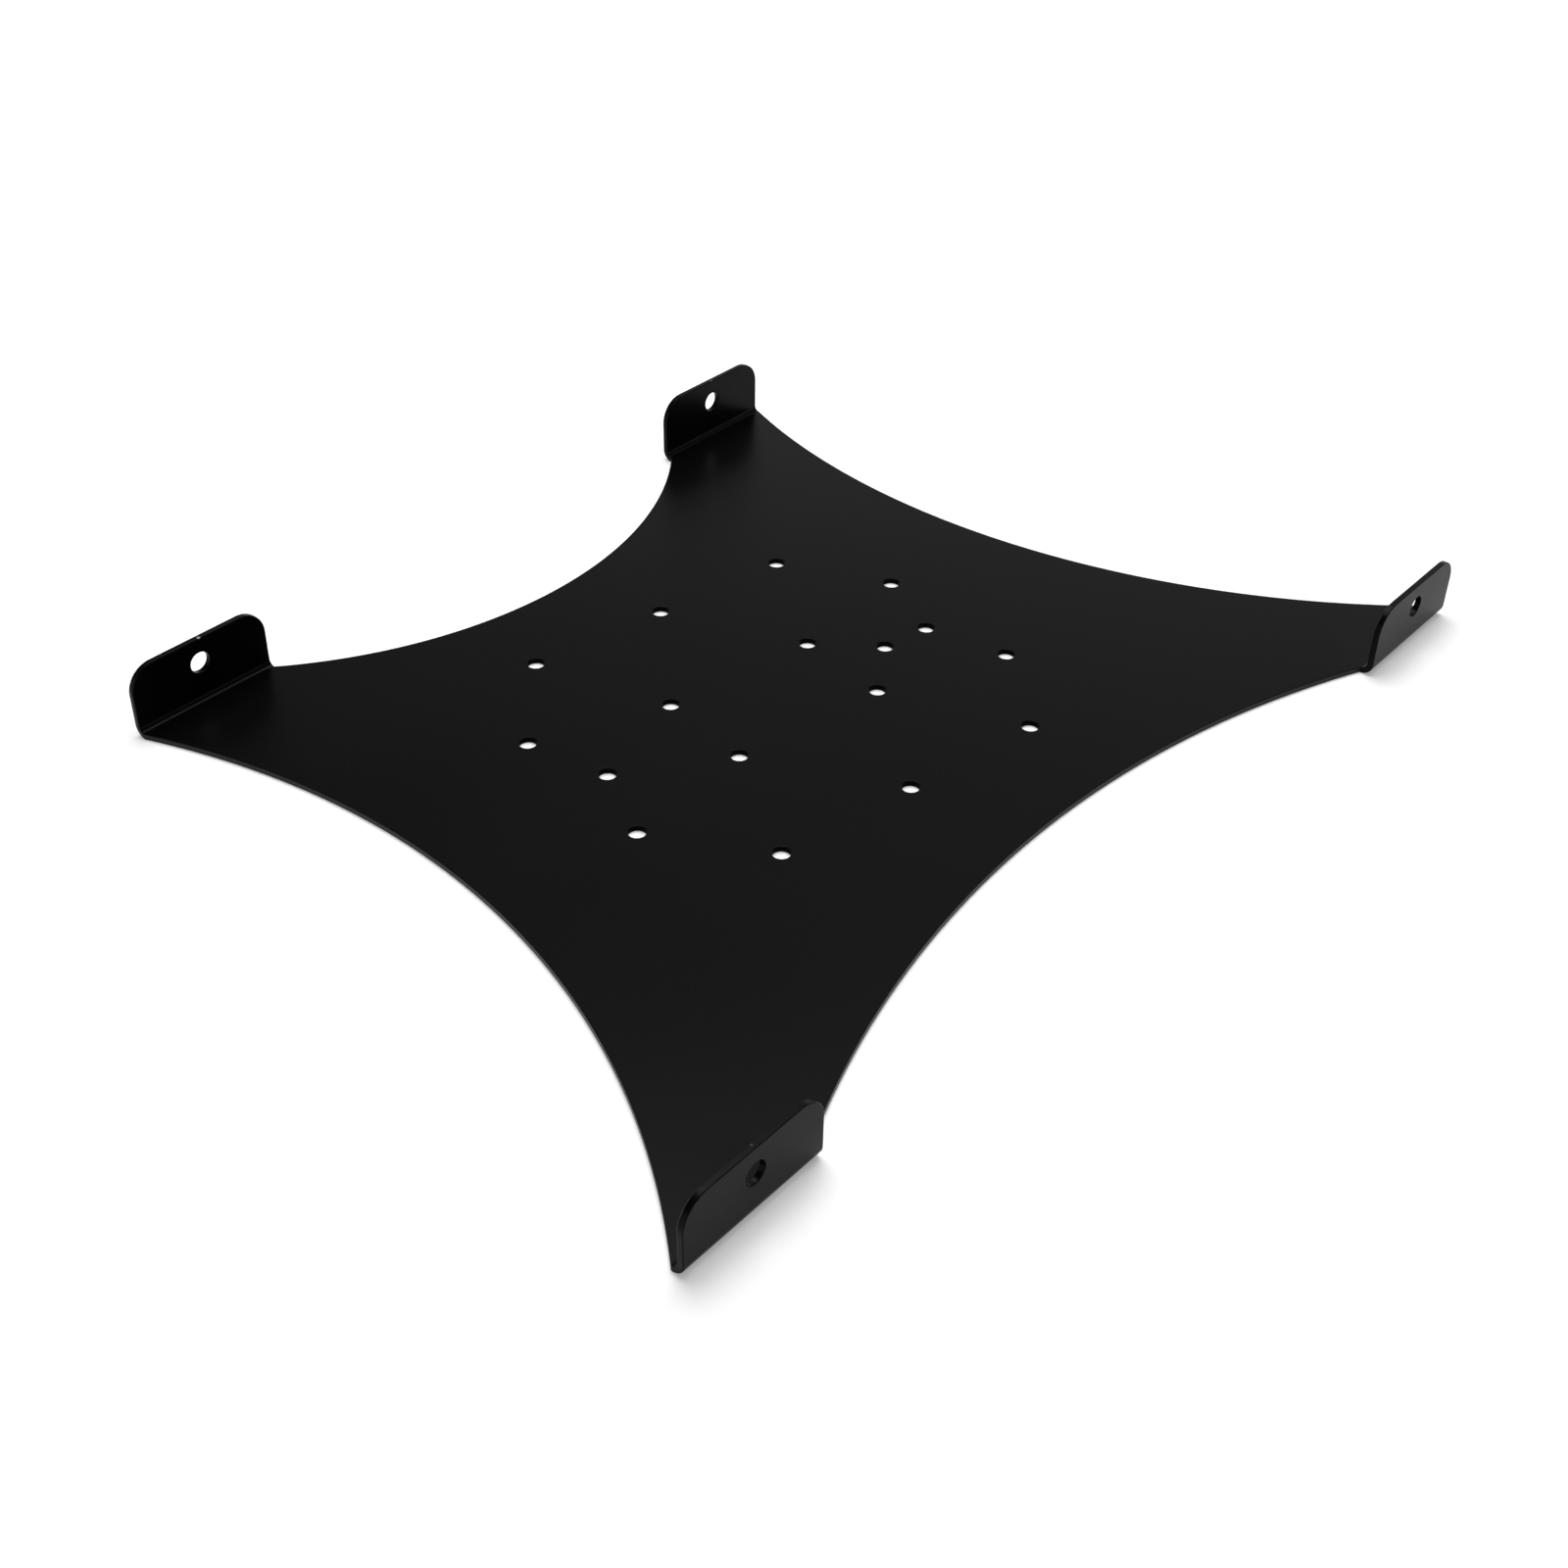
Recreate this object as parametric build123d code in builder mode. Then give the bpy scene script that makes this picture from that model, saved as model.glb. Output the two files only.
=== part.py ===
from build123d import *
import os

# Motor mounting bracket: one steel sheet, cut, drilled and folded up at its four corners.
# Millimetres. Origin on the underside, at the centre of the hole pattern. +Z up,
# X and Y along the hole rows. The outline has its own axes, turned from the rows.

# Sheet
sheet = 2.0                  # thickness
bend_inside = 2.0            # inside radius of the four bends

# Outline, along its own axes
outline_turn = 9.9           # degrees counter-clockwise from the hole rows
width = 269.0                # over the outer faces of the tabs
narrow_length = 286.0        # over the tab ends on the narrow side
wide_length = 377.5          # over the tab ends on the wide side
narrow_side_depth = 33.8     # how far each side curves in from the line between its tabs
wide_side_depth = 29.2
slant_side_depth = 38.3

# Tabs
tab_width = 50.0
tab_height = 23.5            # from the underside
tab_corner = 8.8             # radius of the two top corners
tab_hole = 7.0               # diameter
tab_hole_height = 15.0       # from the underside

# Holes in the plate, along the rows
plate_hole = 5.5             # diameter
rail_across = 123.5          # two rails of three holes
rail_pitch = 50.0
rail_x = -0.5
rail_y = 2.05
outer_across = 55.8          # four holes
outer_along = 148.8
inner_across = 34.3          # four holes
inner_along = 56.0
pair_along = 129.5           # two holes on the centre line
single_y = 46.6              # one hole on the centre line

# Derived
bend_outside = bend_inside + sheet
bend_start = width / 2 - bend_outside
narrow_end = narrow_length / 2
wide_end = wide_length / 2
narrow_gap = narrow_end - tab_width
wide_gap = wide_end - tab_width
outline = Plane.XY.rotated((0, 0, outline_turn))
tabs = [
    (-1, -(narrow_end + narrow_gap) / 2),
    (-1, (narrow_end + narrow_gap) / 2),
    (1, -(wide_end + wide_gap) / 2),
    (1, (wide_end + wide_gap) / 2),
]


def across_bend(side, along):
    """Plane across a tab's middle: its X runs outward from the start of the bend, its Y up."""
    start = outline.from_local_coords(Vector(side * bend_start, along, 0))
    return Plane(origin=start, x_dir=outline.x_dir * side, z_dir=outline.y_dir * -side)


def outer_face(side, along):
    """Plane on a tab's outer face, at the underside's level and facing outward."""
    foot = outline.from_local_coords(Vector(side * width / 2, along, 0))
    return Plane(origin=foot, x_dir=outline.y_dir * side, z_dir=outline.x_dir * side)


with BuildPart() as bracket:
    # Flat plate, up to the start of each bend
    with BuildSketch(outline):
        with BuildLine():
            SagittaArc((-bend_start, -narrow_end), (bend_start, -wide_end), slant_side_depth)
            Line((bend_start, -wide_end), (bend_start, -wide_gap))
            SagittaArc((bend_start, -wide_gap), (bend_start, wide_gap), wide_side_depth)
            Line((bend_start, wide_gap), (bend_start, wide_end))
            SagittaArc((bend_start, wide_end), (-bend_start, narrow_end), slant_side_depth)
            Line((-bend_start, narrow_end), (-bend_start, narrow_gap))
            SagittaArc((-bend_start, narrow_gap), (-bend_start, -narrow_gap), narrow_side_depth)
            Line((-bend_start, -narrow_gap), (-bend_start, -narrow_end))
        make_face()
    extrude(amount=sheet)

    # The four bends and upright tabs
    for side, along in tabs:
        with BuildSketch(across_bend(side, along)):
            with BuildLine():
                CenterArc((0, bend_outside), bend_outside, -90, 90)
                Line((bend_outside, bend_outside), (bend_outside, tab_height))
                Line((bend_outside, tab_height), (bend_inside, tab_height))
                Line((bend_inside, tab_height), (bend_inside, bend_outside))
                CenterArc((0, bend_outside), bend_inside, -90, 90)
                Line((0, sheet), (0, 0))
            make_face()
        extrude(amount=tab_width / 2, both=True)

    # Rounded top corners
    through_sheet = Axis((0, 0, 0), outline.x_dir)
    top_edges = bracket.edges().group_by(Axis.Z)[-1]
    fillet(top_edges.filter_by(through_sheet), radius=tab_corner)

    # One hole in each tab
    for side, along in tabs:
        with BuildSketch(outer_face(side, along)):
            with Locations((0, tab_hole_height)):
                Circle(tab_hole / 2)
        extrude(amount=-sheet, mode=Mode.SUBTRACT)

    # Holes in the plate
    with BuildSketch(Plane.XY):
        with Locations((rail_x, rail_y)):
            with GridLocations(rail_across, rail_pitch, 2, 3):
                Circle(plate_hole / 2)
        with GridLocations(outer_across, outer_along, 2, 2):
            Circle(plate_hole / 2)
        with GridLocations(inner_across, inner_along, 2, 2):
            Circle(plate_hole / 2)
        with GridLocations(0, pair_along, 1, 2):
            Circle(plate_hole / 2)
        with Locations((0, single_y)):
            Circle(plate_hole / 2)
    extrude(amount=sheet, mode=Mode.SUBTRACT)

bracket.part.label = "bracket"
os.makedirs("parts", exist_ok=True)
export_step(bracket.part, "parts/bracket.step")
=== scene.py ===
from math import atan2, hypot, radians

import bmesh
import bpy
from mathutils import Matrix, Vector


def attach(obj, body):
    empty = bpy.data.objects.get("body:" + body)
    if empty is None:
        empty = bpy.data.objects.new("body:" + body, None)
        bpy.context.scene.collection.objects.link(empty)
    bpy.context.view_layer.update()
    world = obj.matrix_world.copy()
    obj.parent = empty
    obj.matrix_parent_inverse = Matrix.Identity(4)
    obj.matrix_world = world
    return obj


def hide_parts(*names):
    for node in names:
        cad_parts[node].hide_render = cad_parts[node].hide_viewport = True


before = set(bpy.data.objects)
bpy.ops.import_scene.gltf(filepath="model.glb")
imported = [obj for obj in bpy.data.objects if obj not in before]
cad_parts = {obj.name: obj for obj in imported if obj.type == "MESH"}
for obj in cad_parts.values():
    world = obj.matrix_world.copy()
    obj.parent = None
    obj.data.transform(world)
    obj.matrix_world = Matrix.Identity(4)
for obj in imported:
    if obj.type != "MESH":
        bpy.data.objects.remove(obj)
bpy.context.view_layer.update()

# Metres. The outline has its own axes, turned from the hole rows: the sheet is cut, folded
# and drilled through its tabs along those, and then turned so that the rows lie along X and Y.
MM = 0.001
OUTLINE_TURN = radians(9.9)
TO_OUTLINE = Matrix.Rotation(-OUTLINE_TURN, 3, "Z")
TO_ROWS = TO_OUTLINE.transposed()

# Sheet and bends
SHEET = 2.0 * MM
BEND_INSIDE = 2.0 * MM
BEND_OUTSIDE = BEND_INSIDE + SHEET
WIDTH = 269.0 * MM
TAB_FACE = WIDTH / 2
BEND_START = TAB_FACE - BEND_OUTSIDE
BEND_STEPS = 10

# Outline
NARROW_END = 143.0 * MM
WIDE_END = 188.75 * MM
NARROW_DEPTH = 33.8 * MM
WIDE_DEPTH = 29.2 * MM
SLANT_DEPTH = 38.3 * MM
ARC_SIDES = 360
ARC_CUTTER_DEPTH = 20 * MM

# Tabs
TAB_WIDTH = 50.0 * MM
TAB_HEIGHT = 23.5 * MM
TAB_CORNER = 8.8 * MM
TAB_CORNER_STEPS = 14
TAB_HOLE_RADIUS = 3.5 * MM
TAB_HOLE_HEIGHT = 15.0 * MM
TAB_CENTRES = {
    (-1, -1): -(NARROW_END - TAB_WIDTH / 2),
    (-1, 1): NARROW_END - TAB_WIDTH / 2,
    (1, -1): -(WIDE_END - TAB_WIDTH / 2),
    (1, 1): WIDE_END - TAB_WIDTH / 2,
}

# Holes in the plate, along the rows, their spacings in millimetres
PLATE_HOLE_RADIUS = 2.75 * MM
HOLE_SIDES = 48
DRILL_DEPTH = 10 * MM
RAIL_ACROSS = 123.5
RAIL_PITCH = 50.0
RAIL_X = -0.5
RAIL_Y = 2.05
OUTER_ACROSS = 55.8
OUTER_ALONG = 148.8
INNER_ACROSS = 34.3
INNER_ALONG = 56.0
PAIR_ALONG = 129.5
SINGLE_Y = 46.6
RAILS = [(x * RAIL_ACROSS / 2 + RAIL_X, y * RAIL_PITCH + RAIL_Y)
         for x in (-1, 1) for y in (-1, 0, 1)]
OUTER = [(x * OUTER_ACROSS / 2, y * OUTER_ALONG / 2) for x in (-1, 1) for y in (-1, 1)]
INNER = [(x * INNER_ACROSS / 2, y * INNER_ALONG / 2) for x in (-1, 1) for y in (-1, 1)]
CENTRE_LINE = [(0, -PAIR_ALONG / 2), (0, PAIR_ALONG / 2), (0, SINGLE_Y)]
PLATE_HOLES = [(x * MM, y * MM) for x, y in RAILS + OUTER + INNER + CENTRE_LINE]

# Edges
EDGE_ROUND = 0.32 * MM
EDGE_STEPS = 3
SHARP_EDGE = radians(40)
FLAT_WITHIN = radians(0.3)

# Points closer than this are one
SAME_POINT = 0.01 * MM
STRAY_ON_BLANK = 0.15 * MM
STRAY_ON_EDGES = 0.2 * MM
NEARBY = 0.1 * MM

# Where the finishes change on the plate: its three slots (the coat, the hole walls with painted
# shade, the cut edges with a painted highlight), and how steep a wall's face is
COAT, HOLE_COAT_AND_SHADE, EDGE_COAT_AND_HIGHLIGHT = 0, 1, 2
OFF_FLAT = 0.93
UPRIGHT = 0.5
HOLE_RIM = 0.4 * MM

# Colours
COAT_DARK = (0.0010, 0.0010, 0.0011, 1)
COAT_PALE = (0.0024, 0.0020, 0.0022, 1)
# Bare steel on the nubs, laid on with a strength that also paints in each nub's glint
BARE_STEEL = (0.42, 0.42, 0.43, 1)
# Painted shade: the hole walls' colours, darker than the coat, stand in for shade inside the holes
HOLE_SHADE_DARK = (0.0008, 0.0008, 0.0009, 1)
HOLE_SHADE_PALE = (0.0018, 0.0017, 0.0018, 1)
# Painted highlight: the cut edge's colours, paler than the coat, stand partly for a thinner coat and
# partly for light catching the rounded edge
EDGE_HIGHLIGHT_DARK = (0.0060, 0.0058, 0.0062, 1)
EDGE_HIGHLIGHT_PALE = (0.0150, 0.0148, 0.0160, 1)
PAPER = (0.86, 0.86, 0.87, 1)
BLACK = (0, 0, 0, 1)
WHITE = (1, 1, 1, 1)

# Texture of the coats: how fine the grain is, and how high it stands
GRAIN = 2600.0
GRAIN_HEIGHT = 0.02 * MM

# Sockets that have no name of their own on their nodes
MIX_FIRST, MIX_SECOND, MIXED = 6, 7, 2
FAR_POINT = 1

# Bare nubs on the tabs' top edges, partly a painted glint
NUB_IN = 1.45 * MM
NUB_ALONG = 1.0 * MM

# Room
FLOOR_RADIUS = 12.0
FLOOR_SIDES = 96
BACKDROP_HEIGHT = 4.5
NEAR_LIFT = 0.26
FAR_LIFT = 0.95
LIFT_FROM = 0.4
LIFT_TO = 2.6
AIR_DIM = 0.06
AIR_BRIGHT = 0.78
BRIGHT_SIDE = (-0.34, 0.94, 0.0)
BRIGHT_FROM = 0.45
BRIGHT_FULL = 0.78


def only(thing):
    """Selects one thing alone, so that an operator acts on nothing else."""
    bpy.ops.object.select_all(action="DESELECT")
    thing.select_set(True)
    bpy.context.view_layer.objects.active = thing


def finish_modifier(thing, kind, **settings):
    """Adds a modifier and applies it at once."""
    modifier = thing.modifiers.new(kind.title(), kind)
    for key, value in settings.items():
        setattr(modifier, key, value)
    only(thing)
    bpy.ops.object.modifier_apply(modifier=modifier.name)


def cut_with(thing, cutter):
    finish_modifier(thing, "BOOLEAN", operation="DIFFERENCE", solver="EXACT", object=cutter)
    bpy.data.objects.remove(cutter)


def drum(radius, depth, place, sides, turn=(0, 0, 0)):
    """A cylinder to cut with."""
    bpy.ops.object.select_all(action="DESELECT")
    bpy.ops.mesh.primitive_cylinder_add(vertices=sides, radius=radius, depth=depth,
                                        location=place, rotation=turn)
    return bpy.context.active_object


def curve_in(sheet_blank, start, end, depth):
    """Cuts a side that curves in by depth between start and end. The waste is on its right."""
    run = Vector(end) - Vector(start)
    half = run.length / 2
    radius = (half * half + depth * depth) / (2 * depth)
    outward = Vector((run.y, -run.x)).normalized()
    centre = (Vector(start) + Vector(end)) / 2 + outward * (radius - depth)
    facing = atan2(-outward.y, -outward.x)
    place = (*centre, SHEET / 2)
    cut_with(sheet_blank, drum(radius, ARC_CUTTER_DEPTH, place, ARC_SIDES, (0, 0, facing)))


def pick_faces(mesh, wanted):
    for face in mesh.faces:
        face.select_set(wanted(face))
    bpy.context.tool_settings.mesh_select_mode = (False, False, True)


def cut_blank():
    """The flat plate, as far as the starts of the bends."""
    bpy.ops.object.select_all(action="DESELECT")
    bpy.ops.mesh.primitive_cube_add(size=1, location=(0, 0, SHEET / 2))
    blank = bpy.context.active_object
    blank.name = "bracket_sheet"
    blank.dimensions = (2 * BEND_START, 2 * WIDE_END, SHEET)
    bpy.ops.object.transform_apply(location=True, rotation=True, scale=True)
    narrow_gap = NARROW_END - TAB_WIDTH
    wide_gap = WIDE_END - TAB_WIDTH
    curve_in(blank, (-BEND_START, -NARROW_END), (BEND_START, -WIDE_END), SLANT_DEPTH)
    curve_in(blank, (BEND_START, WIDE_END), (-BEND_START, NARROW_END), SLANT_DEPTH)
    curve_in(blank, (BEND_START, -wide_gap), (BEND_START, wide_gap), WIDE_DEPTH)
    curve_in(blank, (-BEND_START, narrow_gap), (-BEND_START, -narrow_gap), NARROW_DEPTH)
    finish_modifier(blank, "WELD", merge_threshold=STRAY_ON_BLANK)
    return blank


def fold_tabs(blank):
    """Spins each tab's end face round its bend, draws it up, and rounds its top corners."""
    only(blank)
    bpy.ops.object.mode_set(mode="EDIT")
    mesh = bmesh.from_edit_mesh(blank.data)
    for side, end in TAB_CENTRES:
        middle = TAB_CENTRES[side, end]

        def end_face(face):
            at = face.calc_center_median()
            faces_out = face.normal.x * side > 0.99
            at_bend = abs(at.x - side * BEND_START) < NEARBY
            return faces_out and at_bend and abs(at.y - middle) < TAB_WIDTH / 2

        pick_faces(mesh, end_face)
        bmesh.update_edit_mesh(blank.data)
        bpy.ops.mesh.spin(steps=BEND_STEPS, angle=radians(-90) * side,
                          center=(side * BEND_START, 0, BEND_OUTSIDE), axis=(0, -1, 0))
        mesh = bmesh.from_edit_mesh(blank.data)
        rise = TAB_HEIGHT - BEND_OUTSIDE
        bpy.ops.mesh.extrude_region_move(TRANSFORM_OT_translate={"value": (0, 0, rise)})
        mesh = bmesh.from_edit_mesh(blank.data)
    bpy.ops.mesh.select_all(action="DESELECT")
    bpy.context.tool_settings.mesh_select_mode = (False, True, False)
    for edge in mesh.edges:
        low, high = (v.co for v in edge.verts)
        across = abs(low.x - high.x) > 0.9 * SHEET and abs(low.y - high.y) < NEARBY
        edge.select_set(across and min(low.z, high.z) > TAB_HEIGHT - NEARBY)
    bmesh.update_edit_mesh(blank.data)
    bpy.ops.mesh.bevel(offset=TAB_CORNER, segments=TAB_CORNER_STEPS, profile=0.5)
    bpy.ops.mesh.select_all(action="SELECT")
    bpy.ops.mesh.remove_doubles(threshold=SAME_POINT)
    bpy.ops.mesh.normals_make_consistent(inside=False)
    bpy.ops.object.mode_set(mode="OBJECT")


def drill(blank):
    """One hole in each tab, square to it, and then the plate's holes along the rows."""
    for side, end in TAB_CENTRES:
        place = (side * TAB_FACE, TAB_CENTRES[side, end], TAB_HOLE_HEIGHT)
        cut_with(blank, drum(TAB_HOLE_RADIUS, DRILL_DEPTH, place, HOLE_SIDES, (0, radians(90), 0)))
    only(blank)
    blank.rotation_euler = (0, 0, OUTLINE_TURN)
    bpy.ops.object.transform_apply(location=True, rotation=True, scale=True)
    for x, y in PLATE_HOLES:
        cut_with(blank, drum(PLATE_HOLE_RADIUS, DRILL_DEPTH, (x, y, 0), HOLE_SIDES))


def round_edges(blank):
    """Joins what lies flat, and rounds every cut edge a little."""
    finish_modifier(blank, "DECIMATE", decimate_type="DISSOLVE", angle_limit=FLAT_WITHIN)
    finish_modifier(blank, "WELD", merge_threshold=STRAY_ON_EDGES)
    only(blank)
    bpy.ops.object.shade_smooth()
    finish_modifier(blank, "BEVEL", width=EDGE_ROUND, segments=EDGE_STEPS,
                    limit_method="ANGLE", angle_limit=SHARP_EDGE, harden_normals=True,
                    use_clamp_overlap=False)
    finish_modifier(blank, "TRIANGULATE", min_vertices=4, keep_custom_normals=True)


class Sock:
    """Wraps a shader socket, so that sums on it add Math nodes."""

    def __init__(self, tree, out):
        self.tree, self.out = tree, out

    def _math(self, operation, first, second):
        node = self.tree.nodes.new("ShaderNodeMath")
        node.operation = operation
        for index, value in enumerate((first, second)):
            if isinstance(value, Sock):
                self.tree.links.new(value.out, node.inputs[index])
            else:
                node.inputs[index].default_value = value
        return Sock(self.tree, node.outputs[0])

    def __add__(self, other):
        return self._math("ADD", self, other)

    def __sub__(self, other):
        return self._math("SUBTRACT", self, other)

    def __rsub__(self, other):
        return self._math("SUBTRACT", other, self)

    def __mul__(self, other):
        return self._math("MULTIPLY", self, other)

    def __truediv__(self, other):
        return self._math("DIVIDE", self, other)

    def clamped(self):
        return self._math("MAXIMUM", self._math("MINIMUM", self, 1.0), 0.0)

    def bigger(self, other):
        return self._math("MAXIMUM", self, other)

    __radd__ = __add__
    __rmul__ = __mul__


class Finish:
    """One material's nodes."""

    def __init__(self, name):
        self.material = bpy.data.materials.new(name)
        self.material.use_nodes = True
        self.tree = self.material.node_tree
        self.shader = self.tree.nodes["Principled BSDF"]

    def add(self, kind, settings=None, out=0, **sockets):
        node = self.tree.nodes.new(kind)
        for key, value in (settings or {}).items():
            setattr(node, key, value)
        for key, value in sockets.items():
            socket = node.inputs[key.replace("_", " ")]
            if isinstance(value, Sock):
                self.tree.links.new(value.out, socket)
            else:
                socket.default_value = value
        return Sock(self.tree, node.outputs[out])

    def mix(self, factor, first, second):
        """Goes from the first colour to the second as factor goes from 0 to 1."""
        mixed = self.add("ShaderNodeMix", {"data_type": "RGBA"}, out=MIXED, Factor=factor)
        for index, colour in ((MIX_FIRST, first), (MIX_SECOND, second)):
            socket = mixed.out.node.inputs[index]
            if isinstance(colour, Sock):
                self.tree.links.new(colour.out, socket)
            else:
                socket.default_value = colour
        return mixed

    def feed(self, name, value):
        if isinstance(value, Sock):
            self.tree.links.new(value.out, self.shader.inputs[name])
        else:
            self.shader.inputs[name].default_value = value


def ramp(value, low, high):
    """A straight rise from 0 at low to 1 at high."""
    return ((value - low) / (high - low)).clamped()


def black_powder_coat(nubs):
    """Satin black powder coat over steel: fine orange peel, uneven gloss, and nubs with the coat
    rubbed off, whose strength on each tab is partly a painted glint.
    """
    coat = Finish("black_powder_coat")
    place = coat.add("ShaderNodeTexCoord", out="Object")
    peel = coat.add("ShaderNodeTexNoise", Vector=place, Scale=900.0, Detail=3.0, Roughness=0.55)
    grain = coat.add("ShaderNodeTexNoise", Vector=place, Scale=GRAIN, Detail=1.0)
    cloud = coat.add("ShaderNodeTexNoise", Vector=place, Scale=9.0, Detail=2.0, Roughness=0.5)
    wear_and_glint = None
    for spot, size, bareness_and_glint in nubs:
        away = coat.add("ShaderNodeVectorMath", {"operation": "DISTANCE"}, out="Value",
                        Vector=place)
        away.out.node.inputs[FAR_POINT].default_value = spot
        ragged = away + grain * (0.5 * MM)
        # Each nub's strength is wear and a painted glint together
        spot_wear_and_glint = bareness_and_glint - ramp(ragged, 0.6 * size, 1.1 * size) * bareness_and_glint
        wear_and_glint = spot_wear_and_glint if wear_and_glint is None else wear_and_glint.bigger(spot_wear_and_glint)
    black = coat.mix(cloud, COAT_DARK, COAT_PALE)
    coat.feed("Base Color", coat.mix(wear_and_glint, black, BARE_STEEL))
    coat.feed("Metallic", wear_and_glint * 0.8)
    coat.feed("Roughness", 0.23 + cloud * 0.06 + grain * 0.05)
    height = peel * 0.7 + grain * 0.3
    bump = coat.add("ShaderNodeBump", Height=height, Strength=0.35, Distance=GRAIN_HEIGHT)
    coat.feed("Normal", bump)
    coat.feed("IOR", 1.5)
    coat.feed("Specular IOR Level", 0.055)
    return coat.material


def hole_coat_and_painted_shade():
    """The thin matt coat that reaches down the plate's holes, with painted shade: darker and duller
    than the plate's coat, for the shade inside the holes.
    """
    coat = Finish("hole_coat_and_painted_shade")
    place = coat.add("ShaderNodeTexCoord", out="Object")
    grain = coat.add("ShaderNodeTexNoise", Vector=place, Scale=GRAIN, Detail=1.0)
    coat.feed("Base Color", coat.mix(grain, HOLE_SHADE_DARK, HOLE_SHADE_PALE))
    coat.feed("Roughness", 0.55 + grain * 0.1)
    bump = coat.add("ShaderNodeBump", Height=grain, Strength=0.4, Distance=GRAIN_HEIGHT)
    coat.feed("Normal", bump)
    coat.feed("Specular IOR Level", 0.02)
    return coat.material


def edge_coat_and_painted_highlight():
    """The coat where it pulls thin over the plate's cut edge: a little paler and shinier, partly for
    the thin coat and partly a painted highlight from light catching the rounded edge.
    """
    coat = Finish("edge_coat_and_painted_highlight")
    place = coat.add("ShaderNodeTexCoord", out="Object")
    grain = coat.add("ShaderNodeTexNoise", Vector=place, Scale=2200.0, Detail=2.0)
    coat.feed("Base Color", coat.mix(grain, EDGE_HIGHLIGHT_DARK, EDGE_HIGHLIGHT_PALE))
    coat.feed("Roughness", 0.28 + grain * 0.08)
    bump = coat.add("ShaderNodeBump", Height=grain, Strength=0.3, Distance=GRAIN_HEIGHT)
    coat.feed("Normal", bump)
    coat.feed("Specular IOR Level", 0.13)
    return coat.material


def coat_edges(blank):
    """Gives the walls of the plate's holes and its curved edges their own finishes: a thin coat with
    painted shade on the hole walls, and a thin paler coat with a painted highlight on the edges.
    """
    for face in blank.data.polygons:
        at = face.center
        if abs(face.normal.z) < OFF_FLAT and at.z < SHEET:
            to_hole = min(hypot(at.x - x, at.y - y) for x, y in PLATE_HOLES)
            on_plate = abs((TO_OUTLINE @ at).x) < BEND_START
            if to_hole < PLATE_HOLE_RADIUS + HOLE_RIM:
                # Upright hole walls take the painted shade
                face.material_index = HOLE_COAT_AND_SHADE if abs(face.normal.z) < UPRIGHT else COAT
            elif on_plate:
                # The cut edges take the painted highlight
                face.material_index = EDGE_COAT_AND_HIGHLIGHT


def on_tab_top(side, end, along=0.0):
    """A point on a tab's top edge, moved along it from the middle, in the rows' axes."""
    at = Vector((side * (TAB_FACE - NUB_IN), TAB_CENTRES[side, end] + along, TAB_HEIGHT))
    return tuple(TO_ROWS @ at)


def white_floor():
    """A pale floor with a raised rim for a backdrop. It keeps the shadow where the part is."""
    bpy.ops.object.select_all(action="DESELECT")
    bpy.ops.mesh.primitive_circle_add(vertices=FLOOR_SIDES, radius=FLOOR_RADIUS, fill_type="NGON",
                                      location=(0, 0, 0))
    floor = bpy.context.active_object
    floor.name = "floor"
    bpy.ops.object.mode_set(mode="EDIT")
    bpy.context.tool_settings.mesh_select_mode = (False, True, False)
    bpy.ops.mesh.select_all(action="SELECT")
    bpy.ops.mesh.region_to_loop()
    bpy.ops.mesh.extrude_edges_move(TRANSFORM_OT_translate={"value": (0, 0, BACKDROP_HEIGHT)})
    bpy.ops.object.mode_set(mode="OBJECT")
    paper = Finish("floor_paper")
    paper.feed("Base Color", PAPER)
    paper.feed("Roughness", 1.0)
    paper.feed("Specular IOR Level", 0.0)
    seen = paper.add("ShaderNodeLightPath", out="Is Camera Ray")
    glossy = Sock(paper.tree, seen.out.node.outputs["Is Glossy Ray"])
    through = Sock(paper.tree, seen.out.node.outputs["Is Transmission Ray"])
    place = paper.add("ShaderNodeTexCoord", out="Object")
    away = paper.add("ShaderNodeVectorMath", {"operation": "LENGTH"}, out="Value", Vector=place)
    lift = NEAR_LIFT + ramp(away, LIFT_FROM, LIFT_TO) * (FAR_LIFT - NEAR_LIFT)
    paper.feed("Emission Color", paper.mix((seen + glossy + through).clamped() * lift, BLACK, WHITE))
    paper.feed("Emission Strength", 1.0)
    floor.data.materials.append(paper.material)


def softbox(name, place, size, watts):
    """A flat soft lamp that faces the bracket."""
    light = bpy.data.lights.new(name, "AREA")
    light.shape = "RECTANGLE"
    light.size, light.size_y = size
    light.energy = watts
    lamp = bpy.data.objects.new(name, light)
    lamp.location = place
    to_bracket = -Vector(place)
    lamp.rotation_euler = to_bracket.to_track_quat("-Z", "Y").to_euler()
    bpy.context.scene.collection.objects.link(lamp)


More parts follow.
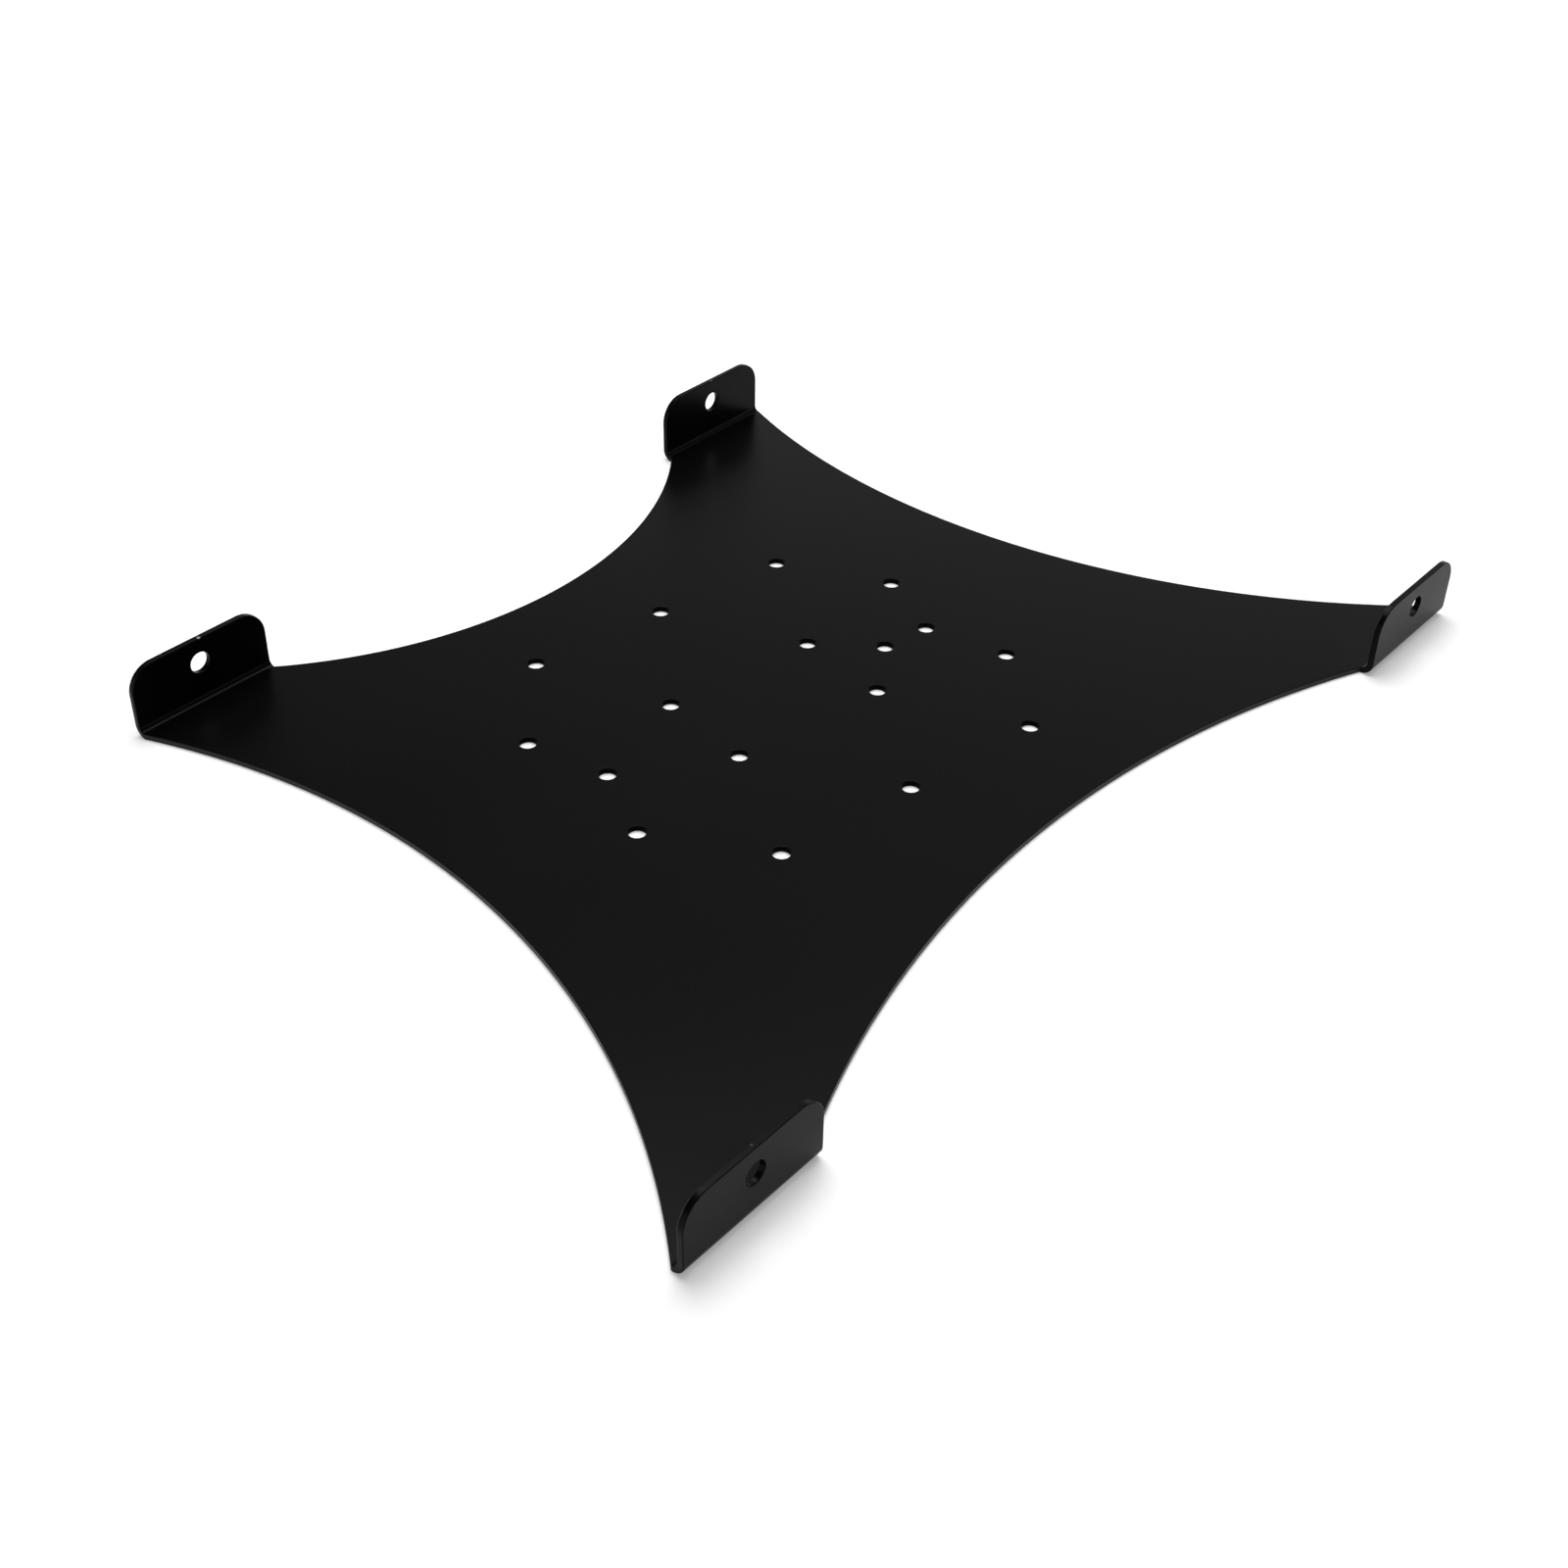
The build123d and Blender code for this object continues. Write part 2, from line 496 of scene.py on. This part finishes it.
def studio_air():
    """Even grey air, brighter on one side, as in a room with a window far off."""
    air = bpy.data.worlds.new("studio")
    bpy.context.scene.world = air
    air.use_nodes = True
    tree = air.node_tree
    where = tree.nodes.new("ShaderNodeTexCoord")
    facing = tree.nodes.new("ShaderNodeVectorMath")
    facing.operation = "DOT_PRODUCT"
    facing.inputs[1].default_value = BRIGHT_SIDE
    tree.links.new(where.outputs["Generated"], facing.inputs[0])
    glow = ramp(Sock(tree, facing.outputs["Value"]), BRIGHT_FROM, BRIGHT_FULL)
    level = AIR_DIM + glow * (AIR_BRIGHT - AIR_DIM)
    tree.links.new(level.out, tree.nodes["Background"].inputs["Strength"])
    tree.nodes["Background"].inputs["Color"].default_value = WHITE


# The bracket
sheet_metal = cut_blank()
fold_tabs(sheet_metal)
drill(sheet_metal)
round_edges(sheet_metal)
# Each nub's place, size, and how far its coat is rubbed off, which also paints in how bright its
# glint is
tab_nubs = [
    (on_tab_top(-1, -1, NUB_ALONG), 0.85 * MM, 1.0),
    (on_tab_top(-1, 1), 0.7 * MM, 0.4),
    (on_tab_top(1, -1), 0.65 * MM, 0.12),
]
sheet_metal.data.materials.clear()
sheet_metal.data.materials.append(black_powder_coat(tab_nubs))
# Second slot: the hole walls, a thin coat with painted shade
sheet_metal.data.materials.append(hole_coat_and_painted_shade())
# Third slot: the cut edges, a thin coat with a painted highlight
sheet_metal.data.materials.append(edge_coat_and_painted_highlight())
coat_edges(sheet_metal)
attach(sheet_metal, "root")
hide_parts("bracket")

# The room
white_floor()
studio_air()
softbox("top_box", (-0.32, 0.25, 1.6), (1.25, 1.25), 27.0)
softbox("front_box", (0.9, -1.0, 1.2), (0.8, 0.8), 3.0)

# Camera
view = bpy.data.cameras.new("camera")
view.lens = 48.78
view.sensor_width = 36.0
camera = bpy.data.objects.new("camera", view)
camera.location = (0.42113, -0.35302, 0.38365)
camera.rotation_euler = (radians(52.8754), radians(-0.8629), radians(50.3217))
bpy.context.scene.collection.objects.link(camera)
bpy.context.scene.camera = camera

bpy.context.scene.view_settings.view_transform = "Standard"
